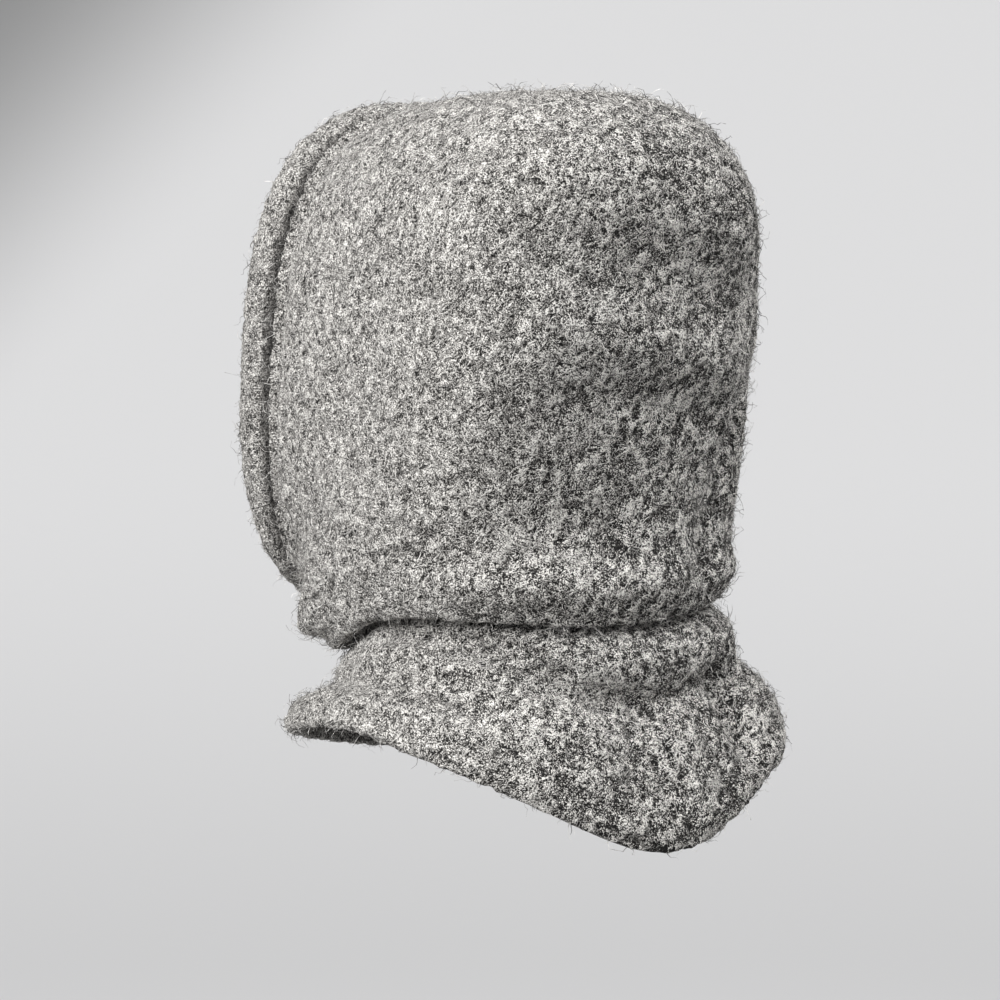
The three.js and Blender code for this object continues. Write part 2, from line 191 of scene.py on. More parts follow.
SNOOD_FOLDS = (
    Fold(0.23, 0.15, 0.147, 0.23, -1.3, 0.9),
    Fold(0.147, 0.23, 0.086, 0.37, -1.4, 0.9),
    Fold(0.086, 0.37, -0.008, 0.47, -0.8, 1),
    Fold(-0.008, 0.47, -0.09, 0.46, -0.5, 1),
    Fold(0.25, 0.36, 0.14, 0.41, 0.5, 1.1),
    Fold(0.14, 0.41, 0.05, 0.7, 0.5, 1.3),
    Fold(-0.035, 0.55, -0.03, 0.9, 0.5, 1.5),
    Fold(-0.1, 0.46, -0.1, 0.8, -1.4, 1),
    Fold(-0.155, 0.6, -0.13, 1, 0.5, 1.4),
    Fold(0.41, 0.27, 0.49, 0.36, -0.7, 1),
    Fold(0.49, 0.36, 0.58, 0.3, -0.7, 1),
)


def shown(name: str, data: Any) -> bpy.types.Object:
    """Puts data in the scene as an object, unturned and at the origin.

    Args:
        name: the object's name.
        data: its mesh, camera or light.

    Returns:
        The object.
    """
    made = bpy.data.objects.new(name, data)
    bpy.context.scene.collection.objects.link(made)
    return made


# Nodes


class Socket:
    """An output socket whose operators add Math nodes to its tree."""

    def __init__(self, maker: "NodeMaker", socket: Any) -> None:
        """Wraps an output socket of a node in the maker's tree."""
        self.maker = maker
        self.socket = socket

    def math(self, operation: str, *others: Any) -> "Socket":
        """Adds a Math node that reads this socket first and then the others, and gives its result."""
        return self.maker.add("ShaderNodeMath", {"operation": operation}, dict(enumerate((self, *others)))).out()

    def __add__(self, other: Any) -> "Socket":
        """This plus another."""
        return self.math("ADD", other)

    def __sub__(self, other: Any) -> "Socket":
        """This minus another."""
        return self.math("SUBTRACT", other)

    def __rsub__(self, other: float) -> "Socket":
        """A number minus this."""
        return self.maker.add("ShaderNodeMath", {"operation": "SUBTRACT"}, {0: other, 1: self}).out()

    def __mul__(self, other: Any) -> "Socket":
        """This times another."""
        return self.math("MULTIPLY", other)

    def __truediv__(self, other: Any) -> "Socket":
        """This divided by another."""
        return self.math("DIVIDE", other)

    def __pow__(self, other: Any) -> "Socket":
        """This to the power of another."""
        return self.math("POWER", other)

    __radd__ = __add__
    __rmul__ = __mul__

    def ramp(self, low: float, high: float) -> "Socket":
        """Runs smoothly from 0 at low to 1 at high."""
        values = {"Value": self, "From Min": low, "From Max": high}
        return self.maker.add("ShaderNodeMapRange", {"interpolation_type": "SMOOTHSTEP"}, values).out("Result")


class Made:
    """A node that was added, with its outputs as sockets."""

    def __init__(self, maker: "NodeMaker", node: Any) -> None:
        """Wraps a node of the maker's tree."""
        self.maker = maker
        self.node = node

    def out(self, name: str | int = 0) -> Socket:
        """One output, by its name or index."""
        return Socket(self.maker, self.node.outputs[name])


class NodeMaker:
    """Adds nodes to one tree."""

    def __init__(self, tree: Any) -> None:
        """Empties the node tree that it is for."""
        self.tree = tree
        tree.nodes.clear()

    def add(self, kind: str, settings: dict[str, Any] | None = None, values: dict[Any, Any] | None = None) -> Made:
        """Adds a node, sets it up and fills its inputs.

        Args:
            kind: the node's type.
            settings: its properties, set first; stops is a list of (place, colour) for a ramp.
            values: its inputs by name or index, as values or sockets.

        Returns:
            The node.
        """
        node = self.tree.nodes.new(kind)
        for name, value in (settings or {}).items():
            if name == "stops":
                self._set_stops(node.color_ramp, value)
            else:
                setattr(node, name, value)
        for name, value in (values or {}).items():
            target = self._input(node, name)
            if isinstance(value, Socket):
                self.tree.links.new(value.socket, target)
            else:
                target.default_value = value
        return Made(self, node)

    @staticmethod
    def _input(node: Any, name: str | int) -> Any:
        """The input of a node by index, or the enabled one by name.

        Args:
            node: the node.
            name: the index or the name.

        Returns:
            The input.
        """
        if isinstance(name, int):
            return node.inputs[name]
        enabled = [socket for socket in node.inputs if socket.name == name and socket.enabled]
        return enabled[0] if enabled else node.inputs[name]

    @staticmethod
    def _set_stops(ramp: Any, stops: Sequence[tuple[float, tuple[float, ...]]]) -> None:
        """Gives a colour ramp its stops.

        Args:
            ramp: the colour ramp.
            stops: each stop's place and colour.
        """
        while len(ramp.elements) < len(stops):
            ramp.elements.new(0.5)
        for element, (place, colour) in zip(ramp.elements, stops):
            element.position = place
            element.color = (*colour, 1.0)

    def mix(self, share: Socket, first: tuple[float, ...], second: tuple[float, ...]) -> Socket:
        """Mixes two colours by the share of the second."""
        values = {0: share, 6: (*first, 1.0), 7: (*second, 1.0)}
        return self.add("ShaderNodeMix", {"data_type": "RGBA"}, values).out(2)

    def vector(self, operation: str, first: Any, second: Any = None, scale: Any = None) -> Socket:
        """Adds a Vector Math node.

        Args:
            operation: the node's operation.
            first: the first vector.
            second: the second vector, where there is one.
            scale: the factor, where there is one.

        Returns:
            The result: a number for a dot product, and otherwise a vector.
        """
        values = {0: first}
        if second is not None:
            values[1] = second
        if scale is not None:
            values["Scale"] = scale
        made = self.add("ShaderNodeVectorMath", {"operation": operation}, values)
        return made.out("Value" if operation == "DOT_PRODUCT" else "Vector")

    def noise(
        self, place: Socket, size: float, detail: float = 2.0, rough: float = 0.5, colour: bool = False,
    ) -> Socket:
        """Smooth noise at a place, with features of a size in metres and finer layers of some roughness."""
        values = {"Vector": place, "Scale": 1 / size, "Detail": detail, "Roughness": rough}
        return self.add("ShaderNodeTexNoise", {"noise_dimensions": "3D"}, values).out("Color" if colour else 0)

    def xyz(self, **channels: Any) -> Socket:
        """A vector from its channels X, Y and Z; one that isn't given is 0."""
        return self.add("ShaderNodeCombineXYZ", None, channels).out()

    def wander(self, place: Socket, size: float) -> Socket:
        """A smooth random vector with features of a size in metres; its channels run from -0.5 to 0.5."""
        return self.vector("SUBTRACT", self.noise(place, size, 1.0, colour=True), (0.5, 0.5, 0.5))

    def painted_shade_side(self, place: Socket) -> Socket:
        """How far a place lies towards the side away from the lamps, from 0 to 1: the share of painted shade and
        painted grazing-light contrast there.
        """
        return self.vector("DOT_PRODUCT", place, PAINTED_SHADE_WAY).ramp(-0.04, 0.16)

    def attribute(self, name: str) -> Socket:
        """A mesh's number attribute, in a material."""
        return self.add("ShaderNodeAttribute", {"attribute_name": name}).out("Fac")


class Tree(NodeMaker):
    """A Geometry Nodes tree with named inputs, run once on an object and turned into a plain mesh."""

    def __init__(self, name: str, inputs: dict[str, tuple[str, Any]]) -> None:
        """Makes the tree with its sockets.

        Args:
            name: the tree's name.
            inputs: name to socket type and default value.
        """
        super().__init__(bpy.data.node_groups.new(name, "GeometryNodeTree"))
        face = self.tree.interface
        face.new_socket(name="Geometry", in_out="INPUT", socket_type="NodeSocketGeometry")
        self.identifiers: dict[str, str] = {}
        for label, (kind, default) in inputs.items():
            socket = face.new_socket(name=label, in_out="INPUT", socket_type=kind)
            if default is not None:
                socket.default_value = default
            self.identifiers[label] = socket.identifier
        face.new_socket(name="Geometry", in_out="OUTPUT", socket_type="NodeSocketGeometry")
        self.start = self.add("NodeGroupInput")

    def given(self, name: str) -> Socket:
        """One of the tree's inputs."""
        return self.start.out(name)

    def attribute(self, name: str) -> Socket:
        """A mesh's number attribute, in a tree."""
        return self.add("GeometryNodeInputNamedAttribute", {"data_type": "FLOAT"}, {"Name": name}).out()

    def position(self) -> Socket:
        """The position of each point."""
        return self.add("GeometryNodeInputPosition").out()

    def stored(self, geometry: Socket, name: str, value: Socket) -> Socket:
        """Keeps a number for each point of a geometry.

        Args:
            geometry: the geometry.
            name: the attribute's name.
            value: the number.

        Returns:
            The geometry with the attribute.
        """
        settings = {"data_type": "FLOAT", "domain": "POINT"}
        values = {"Geometry": geometry, "Name": name, "Value": value}
        return self.add("GeometryNodeStoreNamedAttribute", settings, values).out()

    def moved(self, geometry: Socket, offset: Socket) -> Socket:
        """Moves each point of a geometry by an offset."""
        return self.add("GeometryNodeSetPosition", None, {"Geometry": geometry, "Offset": offset}).out()

    def finish(self, geometry: Socket) -> None:
        """Joins the last geometry to the tree's output."""
        self.add("NodeGroupOutput", None, {"Geometry": geometry})

    def run(self, source: bpy.types.Object, name: str, values: dict[str, Any]) -> bpy.types.Object:
        """Runs the tree on an object and keeps the result as a new plain mesh object.

        Args:
            source: the object whose mesh the tree starts from; it isn't changed.
            name: the name of the new object.
            values: the tree's inputs by name.

        Returns:
            The new object.
        """
        carrier = shown(name + "_carrier", source.data)
        modifier = carrier.modifiers.new("tree", "NODES")
        modifier.node_group = self.tree
        for label, value in values.items():
            modifier[self.identifiers[label]] = value
        graph = bpy.context.evaluated_depsgraph_get()
        graph.update()
        mesh = bpy.data.meshes.new_from_object(carrier.evaluated_get(graph), depsgraph=graph)
        carrier.modifiers.remove(modifier)
        bpy.data.objects.remove(carrier)
        mesh.name = name
        return shown(name, mesh)


# The worn shape


@dataclass
class WornShape:
    """The sizes that the pieces share, in millimetres, and the surfaces that follow from them.

    The seam lies between hood and snood; crown_back and seat_rise lead from its frame to the seat under the crown.
    jaw_turn and side_turn, which aren't lengths, are how fast a loop changes on its way round.
    """

    hood_width: float = 222
    hood_reach: float = 354
    chin_forward: float = 112
    chin_drop: float = 22
    knit_wall: float = 4.5
    neck_width: float = 172
    neck_far: float = 194
    neck_near: float = 38
    neck_turn: float = 8.5
    neck_square: float = 2.35
    seam_lift: float = 13
    joint_gap: float = 0.3
    band_width: float = 35
    band_chin: float = 22
    band_ease: float = 60
    crown_back: float = 20
    seat_rise: float = 276.584
    columns: int = 300
    jaw_start: float = 0.25
    jaw_turn: float = 4
    side_turn: float = 2.2
    angles: np.ndarray = field(init=False)

    def __post_init__(self) -> None:
        """Works out the angle of each column, from the middle of the back round by the left."""
        self.angles = np.arange(self.columns) * 2 * np.pi / self.columns

    def jaw_share(self) -> np.ndarray:
        """How far each column is round to the jaw, from 0 at the back to 1 under the face opening."""
        return 0.5 - 0.5 * np.tanh(self.jaw_turn * (np.cos(self.angles) + self.jaw_start))

    def lift_share(self) -> np.ndarray:
        """How much of the seam's lift each column gets."""
        return np.sin(self.angles) ** 2 * (1 - self.jaw_share())

    def turned_loop(self, row: HoodLoop, size: float = 1, half: float = 1) -> np.ndarray:
        """A rounded loop in a plane turned about the axis through the chin.

        Args:
            row: the loop's row.
            size: what far and near are shares of.
            half: what half is a share of.

        Returns:
            The points, one for each column.
        """
        cos, sin = np.cos(self.angles), np.sin(self.angles)
        far, near, side = row.far * size, row.near * size, row.half * half
        centre = near + row.middle * (far - near)
        span = np.where(cos > 0, far - centre, centre - near)
        square = row.front + (row.back - row.front) * (0.5 + 0.5 * np.tanh(self.side_turn * cos))
        radius = (np.abs(cos / span) ** square + np.abs(sin / side) ** square) ** (-1 / square)
        away = centre + radius * cos
        slope = math.radians(row.turn)
        level = away * math.cos(slope) - self.chin_forward
        height = away * math.sin(slope) - self.chin_drop + row.lift * self.seam_lift * self.lift_share()
        return np.stack([radius * sin, level, height], -1)

    def seam(self) -> np.ndarray:
        """The loop of the seam between hood and snood.

        Returns:
            The points, one for each column.
        """
        square = self.neck_square
        row = HoodLoop(self.neck_turn, self.neck_far, self.neck_near, self.neck_width / 2, square, square, 0.52, 1)
        return self.turned_loop(row)

    def outward(self) -> np.ndarray:
        """Level directions that point out of the seam, square to it.

        Returns:
            The directions, one for each column.
        """
        seam = self.seam()
        run = np.roll(seam, -1, 0) - np.roll(seam, 1, 0)
        out = np.stack([-run[:, 1], run[:, 0], 0 * run[:, 0]], -1)
        return out / np.linalg.norm(out, axis=1, keepdims=True)

    def band_extra(self, loop: np.ndarray) -> np.ndarray:
        """How much wider than at the chin the band is ahead of each point of a loop at the rim."""
        away = np.hypot(loop[:, 1] + self.chin_forward, loop[:, 2] + self.chin_drop)
        return (self.band_width - self.band_chin) * (1 - np.exp(-((away / self.band_ease) ** 2)))

    def three_way(self, back: float, side: float, front: float) -> np.ndarray:
        """Values that run smoothly from the back over the side to the front."""
        cos = np.cos(self.angles)
        return side + (np.where(cos > 0, back, front) - side) * cos * cos

    def seated(self, grid: np.ndarray) -> np.ndarray:
        """Moves points from the seam's frame, in millimetres, to the seat's frame, in metres."""
        return (grid - [0, self.crown_back, self.seat_rise]) * MM


class Surface:
    """A surface through rows of loops, smooth from row to row."""

    def __init__(self, rows: Sequence[np.ndarray]) -> None:
        """Keeps the rows and measures the way along them.

        Args:
            rows: the loops, each an array of points.
        """
        self.rows = np.array(rows)
        self.last = len(rows) - 1
        self.places = np.linspace(0, self.last, 20 * self.last + 1)
        steps = np.linalg.norm(np.diff(self.at(self.places), axis=0), axis=-1)
        self.lengths = np.concatenate([[0], np.cumsum(0.5 * steps.mean(1) + 0.5 * steps.max(1))])

    def at(self, places: Sequence[float]) -> np.ndarray:
        """The loops at places between the rows, on centripetal curves.

        Args:
            places: row numbers, whole or between.

        Returns:
            The loops.
        """
        wanted = np.asarray(places, float)
        index = np.clip(np.floor(wanted).astype(int), 0, self.last - 1)
        share = (wanted - index)[:, None, None]
        first = 2 * self.rows[:1] - self.rows[1:2]
        last = 2 * self.rows[-1:] - self.rows[-2:-1]
        wide = np.concatenate([first, self.rows, last])
        before, start, end, after = (wide[index + step] for step in range(4))
        pairs = ((before, start), (start, end), (end, after))
        one, two, three = (
            np.maximum(np.sqrt(np.linalg.norm(b - a, axis=-1, keepdims=True)), 1e-4) for a, b in pairs
        )
        chord = end - start
        leave = (start - before) * two / one - (end - before) * two / (one + two) + chord
        reach = (after - end) * two / three - (after - start) * two / (two + three) + chord
        square = 3 * chord - 2 * leave - reach
        cube = -2 * chord + leave + reach
        return start + leave * share + square * share**2 + cube * share**3

    def even(self, start: float, steps: int) -> np.ndarray:
        """Places from a start row to the last one, with about the same distance at each of the steps."""
        begin = np.interp(start, self.places, self.lengths)
        return np.interp(np.linspace(begin, self.lengths[-1], steps + 1), self.lengths, self.places)

    def point(self, around: float, along: float) -> np.ndarray:
        """One point of the surface.

        Args:
            around: its share of the way round the loop.
            along: its share of the way along.

        Returns:
            The point.
        """
        loop = self.at([np.interp(along * self.lengths[-1], self.lengths, self.places)])[0]
        column = (around % 1) * len(loop)
        low = int(column)
        share = column - low
        return loop[low % len(loop)] * (1 - share) + loop[(low + 1) % len(loop)] * share


def grid_normals(grid: np.ndarray, turned: int) -> np.ndarray:
    """Outward directions of a grid of loops.

    Args:
        grid: the loops.
        turned: -1 where the loops run up, 1 where they run down.

    Returns:
        The directions.
    """
    around = np.roll(grid, -1, 1) - np.roll(grid, 1, 1)
    along = np.gradient(grid, axis=0)
    normals = np.cross(around, along) * turned
    return normals / np.maximum(np.linalg.norm(normals, axis=-1, keepdims=True), 1e-9)


def evened(normals: np.ndarray, rounds: int) -> np.ndarray:
    """Directions evened out between neighbours.

    Args:
        normals: the directions.
        rounds: how often they are evened.

    Returns:
        The evened directions.
    """
    for _ in range(rounds):
        above = np.concatenate([normals[1:], normals[-1:]])
        below = np.concatenate([normals[:1], normals[:-1]])
        total = 2 * normals + np.roll(normals, 1, 1) + np.roll(normals, -1, 1) + above + below
        normals = total / np.linalg.norm(total, axis=-1, keepdims=True)
    return normals


def folded(grid: np.ndarray, normals: np.ndarray, surface: Surface, folds: Sequence[Fold], sizes: tuple[float, float],
           eased: np.ndarray) -> np.ndarray:
    """Presses folds into a grid or raises them.

    Args:
        grid: the loops.
        normals: their outward directions.
        surface: the surface that the folds' places are on.
        folds: the folds.
        sizes: what the folds' rise and reach are shares of.
        eased: how much of a fold each row takes.

    Returns:
        The folded grid.
    """
    raised = np.zeros(grid.shape[:2])
    pressed = np.zeros(grid.shape[:2])
    for fold in folds:
        start = surface.point(fold.around, fold.along)
        run = surface.point(fold.to_around, fold.to_along) - start
        share = np.clip((grid - start) @ run / (run @ run), 0, 1)
        away = np.linalg.norm(grid - start - share[..., None] * run, axis=-1)
        rise = fold.rise * sizes[0] * np.exp(-((away / (fold.reach * sizes[1])) ** 2))
        raised, pressed = np.maximum(raised, rise), np.minimum(pressed, rise)
    return grid + normals * ((raised + pressed) * eased[:, None])[..., None]


def smooth_mesh(
    name: str, points: Sequence[Sequence[float]], faces: Sequence[Sequence[int]], **attributes: np.ndarray,
) -> bpy.types.Mesh:
    """A smooth mesh.

    Args:
        name: the mesh's name.
        points: its points.
        faces: its faces, as point numbers.
        attributes: a number for each point, by the attribute's name.

    Returns:
        The mesh.
    """
    mesh = bpy.data.meshes.new(name)
    mesh.from_pydata(points, [], faces)
    mesh.polygons.foreach_set("use_smooth", [True] * len(mesh.polygons))
    for label, values in attributes.items():
        mesh.attributes.new(label, "FLOAT", "POINT").data.foreach_set("value", values)
    mesh.update()
    return mesh


def shell_mesh(name: str, outer: np.ndarray, inner: np.ndarray, shade: np.ndarray, flip: bool) -> bpy.types.Mesh:
    """A closed wall: a fine outer grid, a coarser inner one, and the strips that join their ends.

    Args:
        name: the mesh's name.
        outer: the outer loops.
        inner: the inner loops, with half as many points each.
        shade: how deep each outer loop lies in a groove, from 0 to 1; the knit is darkened there as painted shade.
        flip: whether the faces are turned over.

    Returns:
        The mesh, with the attributes outside, 1 on the outer grid, and shade, which the knit turns into painted
        shade.
    """
    rows, wide = outer.shape[:2]
    lines, narrow = inner.shape[:2]

    def quads(count: int, width: int, first: int) -> np.ndarray:
        """The faces of one grid.

        Args:
            count: how many loops it has.
            width: how many points a loop has.
            first: the number of its first point.

        Returns:
            The faces, as point numbers.
        """
        index = first + np.arange(count * width).reshape(count, width)
        after = np.roll(index, -1, 1)
        return np.stack([index[:-1], after[:-1], after[1:], index[1:]], -1).reshape(-1, 4)

    faces = [*quads(rows, wide, 0).tolist(), *quads(lines, narrow, rows * wide)[:, ::-1].tolist()]
    for row, line, turned in ((0, 0, True), (rows - 1, lines - 1, False)):
        for column in range(narrow):
            fine = [row * wide + (2 * column + step) % wide for step in range(3)]
            coarse = [rows * wide + line * narrow + (column + step) % narrow for step in range(2)]
            strip = ([fine[0], fine[1], coarse[0]], [fine[1], coarse[1], coarse[0]], [fine[1], fine[2], coarse[1]])
            faces.extend(face[::-1] if turned else face for face in strip)
    if flip:
        faces = [face[::-1] for face in faces]
    points = np.concatenate([outer.reshape(-1, 3), inner.reshape(-1, 3)])
    outside = np.concatenate([np.ones(rows * wide), np.zeros(lines * narrow)])
    shades = np.concatenate([np.repeat(shade, wide), np.zeros(lines * narrow)])
    return smooth_mesh(name, points.tolist(), faces, outside=outside, shade=shades)


def ring_mesh(name: str, loops: np.ndarray, shade: np.ndarray, flip: bool) -> bpy.types.Mesh:
    """A closed ring whose section runs through the loops and back to the first.

    Args:
        name: the mesh's name.
        loops: the loops.
        shade: how deep each loop lies in a groove, from 0 to 1; there is less pile in one, and the knit is darkened
            there as painted shade.
        flip: whether the faces are turned over.

    Returns:
        The mesh, with the attributes outside and shade.
    """
    rows, wide = loops.shape[:2]
    index = np.arange(rows * wide).reshape(rows, wide)
    after, below = np.roll(index, -1, 1), np.roll(index, -1, 0)
    faces = np.stack([index, after, np.roll(below, -1, 1), below], -1).reshape(-1, 4)
    faces = faces[:, ::-1] if flip else faces
    outside, shades = np.repeat(1 - GROOVE_BARE * shade, wide), np.repeat(shade, wide)
    return smooth_mesh(name, loops.reshape(-1, 3).tolist(), faces.tolist(), outside=outside, shade=shades)


# Geometry Nodes: the relief and the pile of the knit


@dataclass(frozen=True)
class Relief:
    """How the brushed loops stand and sink, in millimetres."""

    clump: float = 9.0
    tuft: float = 5.0
    clump_rise: float = 0.7
    tuft_rise: float = 1.5
    pit_drop: float = 1.8
    pit_patch: float = 30.0
    swirl: float = 12.0

    def tree(self) -> Tree:
        """A tree that moves the outside along its normals and keeps the height as the attribute pile.

        Returns:
            The tree, whose inputs are Strength, a share of the height, and Shift, how far the noise is moved.
        """
        tree = Tree("knit_relief", {"Strength": ("NodeSocketFloat", 1.0), "Shift": ("NodeSocketFloat", 0.0)})
        shifted = tree.vector("ADD", tree.position(), tree.xyz(X=tree.given("Shift")))
        swirl = tree.vector("SCALE", tree.wander(shifted, self.swirl * MM), scale=self.swirl * MM / 2)
        warped = tree.vector("ADD", shifted, swirl)
        clump = tree.noise(warped, self.clump * MM, 2.0, 0.55) - 0.5
        tuft = tree.noise(warped, self.tuft * MM, 1.0) - 0.5
        cells = tree.add(
            "ShaderNodeTexVoronoi", {"feature": "SMOOTH_F1"},
            {"Vector": warped, "Scale": 1 / (self.tuft * MM), "Smoothness": 0.35},
        ).out("Distance")
        pits = cells.ramp(0.5, 0.85) * tree.noise(shifted, self.pit_patch * MM, 0.0).ramp(0.3, 0.6)
        height = clump * (2 * self.clump_rise) + tuft * (2 * self.tuft_rise) - pits * self.pit_drop
        move = height * tree.attribute("outside") * tree.given("Strength") * MM
        pile = (height * 0.4 + 0.5).math("MINIMUM", 1.0).math("MAXIMUM", 0.0)
        kept = tree.stored(tree.given("Geometry"), "pile", pile)
        normal = tree.add("GeometryNodeInputNormal").out()
        tree.finish(tree.moved(kept, tree.vector("SCALE", normal, scale=move)))
        return tree


@dataclass(frozen=True)
class Fibre:
    """One kind of fibre of the pile, in millimetres."""

    length: float
    radius: float
    steps: int
    bend: float
    curl: float
    curl_size: float
    lean: float
    tuft: float = 3.0

    def tree(self, name: str, finish: bpy.types.Material) -> Tree:
        """A tree that strews these fibres over the outside of a piece.

        Args:
            name: the tree's name.
            finish: the fibres' material.

        Returns:
            The tree, whose inputs are Density in fibres a square metre, Inside as the inner share, and Seed.
        """
        tree = Tree(name, {
            "Density": ("NodeSocketFloat", 1000.0), "Inside": ("NodeSocketFloat", 0.2), "Seed": ("NodeSocketInt", 0),
        })
        points = self._points(tree)
        toned = tree.stored(points.out("Points"), "tone", self._tone(tree))
        values = {
            "Points": toned, "Instance": self._strand(tree), "Rotation": self._turn(tree, points.out("Rotation")),
            "Scale": tree.xyz(X=1.0, Y=1.0, Z=self._random(tree, 0.55, 1.3, 11)),
        }
        strewn = tree.add("GeometryNodeInstanceOnPoints", None, values).out()
        real = tree.add("GeometryNodeRealizeInstances", None, {"Geometry": strewn}).out()
        values = {"Geometry": self._curled(tree, real), "Material": finish}
        tree.finish(tree.add("GeometryNodeSetMaterial", None, values).out())
        return tree

    @staticmethod
    def _random(tree: Tree, low: float, high: float, seed: int) -> Socket:
        """A random number from low to high for each point."""
        values = {"Min": low, "Max": high, "Seed": seed}
        return tree.add("FunctionNodeRandomValue", {"data_type": "FLOAT"}, values).out(1)

    def _tone(self, tree: Tree) -> Socket:
        """How light a fibre is: mostly like its neighbours, so that light and dark tufts form.

        Args:
            tree: the tree that it is for.

        Returns:
            The tone, from 0 for dark to 1 for light.
        """
        place = tree.position()
        tuft = tree.noise(place, self.tuft * MM, 1.0).ramp(0.36, 0.64)
        painted_shade_side = tree.painted_shade_side(place)
        single = self._random(tree, 0.0, 1.0, 7) ** 2.5
        # Painted shade and painted grazing-light contrast: fibres are darker and more contrasty towards the side away
        # from the lamps.
        return tuft * (0.45 + painted_shade_side * 0.5) + single * (0.85 + painted_shade_side * 0.15) - painted_shade_side * 0.3

    def _strand(self, tree: Tree) -> Socket:
        """One bent three-sided strand that stands on the origin.

        Args:
            tree: the tree that it is for.

        Returns:
            The strand, with its share of the height as the attribute along.
        """
        cone = tree.add(
            "GeometryNodeMeshCone", {"fill_type": "NONE"},
            {
                "Vertices": 3, "Side Segments": self.steps, "Radius Top": 0.25 * self.radius * MM,
                "Radius Bottom": self.radius * MM, "Depth": self.length * MM,
            },
        ).out("Mesh")
        height = tree.add("ShaderNodeSeparateXYZ", None, {"Vector": tree.position()}).out("Z")
        along = height / (self.length * MM)
        aside = along * along * (self.bend * MM)
        return tree.moved(tree.stored(cone, "along", along), tree.xyz(X=aside, Z=aside * -0.45))

    @staticmethod
    def _points(tree: Tree) -> Made:
        """Points spread over the piece, densest outside and on the tufts.

        Args:
            tree: the tree that they are for.

        Returns:
            The node with the points and their rotation.
        """
        inside = tree.given("Inside")
        share = inside + tree.attribute("outside") * (1 - inside)
        share = share * (tree.attribute("pile").ramp(0.3, 0.64) * 1.8 + 0.08)
        return tree.add(
            "GeometryNodeDistributePointsOnFaces", {"distribute_method": "RANDOM"},
            {"Mesh": tree.given("Geometry"), "Density": share * tree.given("Density"), "Seed": tree.given("Seed")},
        )

    def _turn(self, tree: Tree, rotation: Socket) -> Socket:
        """Leans each strand and turns it about the normal.

        Args:
            tree: the tree that it is for.
            rotation: the rotation to the normal.

        Returns:
            The rotation of each strand.
        """
        spin = tree.xyz(Z=self._random(tree, 0.0, 6.283, 3))
        lean = tree.xyz(Y=self._random(tree, 0.25 * self.lean, self.lean, 5))
        for euler in (spin, lean):
            part = tree.add("FunctionNodeEulerToRotation", None, {"Euler": euler}).out()
            rotation = tree.add(
                "FunctionNodeRotateRotation", {"rotation_space": "LOCAL"}, {"Rotation": rotation, "Rotate By": part},
            ).out()
        return rotation

    def _curled(self, tree: Tree, strands: Socket) -> Socket:
        """Curls the strands with noise that grows from foot to tip.

        Args:
            tree: the tree that it is for.
            strands: the strands.

        Returns:
            The curled strands.
        """
        wander = tree.wander(tree.position(), self.curl_size * MM)
        grown = tree.attribute("along") * (2 * self.curl * MM)
        return tree.moved(strands, tree.vector("SCALE", wander, scale=grown))


# Finishes


class Look:
    """A finish that is built as a material of nodes."""

    def surface(self, nodes: NodeMaker) -> Socket:
        """The surface; each finish has its own."""
        raise NotImplementedError

    def material(self, name: str) -> bpy.types.Material:
        """Builds the material.

        Args:
            name: the material's name.

        Returns:
            The material.
        """
        made = bpy.data.materials.new(name)
        made.use_nodes = True
        nodes = NodeMaker(made.node_tree)
        nodes.add("ShaderNodeOutputMaterial", None, {"Surface": self.surface(nodes)})
        return made


